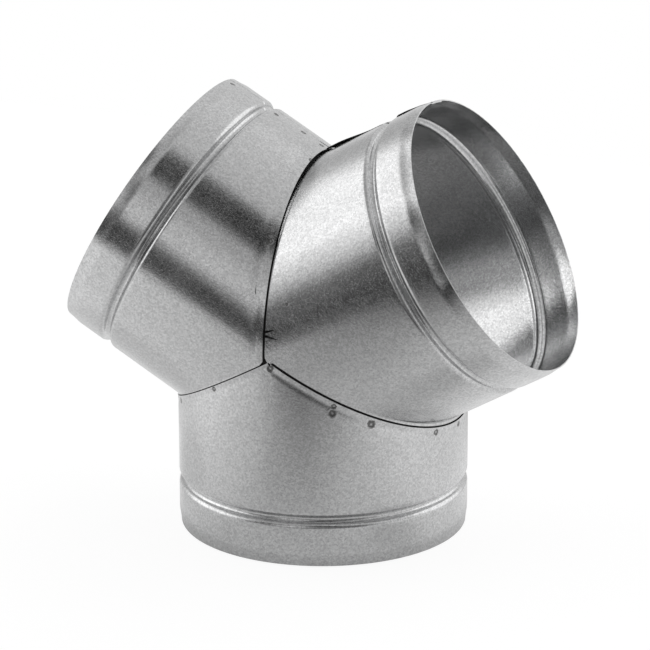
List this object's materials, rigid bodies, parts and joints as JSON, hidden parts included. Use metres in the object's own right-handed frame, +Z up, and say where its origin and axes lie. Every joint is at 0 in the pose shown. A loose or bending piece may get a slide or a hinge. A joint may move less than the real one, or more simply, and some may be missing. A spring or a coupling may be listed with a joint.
{
  "type": "duct y branch",
  "caption": "Y-shaped round duct branch of galvanised sheet that splits a trunk into angled branches, with lapped spot-welded seams and beaded collars with turned-in lips.",
  "frame": {"origin": "middle of the trunk's lower rim, on the floor that the part stands on", "axes": "+Z up along the trunk, +X across the branches towards the right one, +Y towards the back"},
  "size_m": [0.2604, 0.149, 0.2255],
  "materials": {
    "galvanised_sheet": "zinc-coated sheet steel, semi-gloss with a fine grain"
  },
  "bodies": {
    "root": {"trunk_leg": "galvanised_sheet", "left_leg": "galvanised_sheet", "right_leg": "galvanised_sheet"}
  },
  "joints": []
}
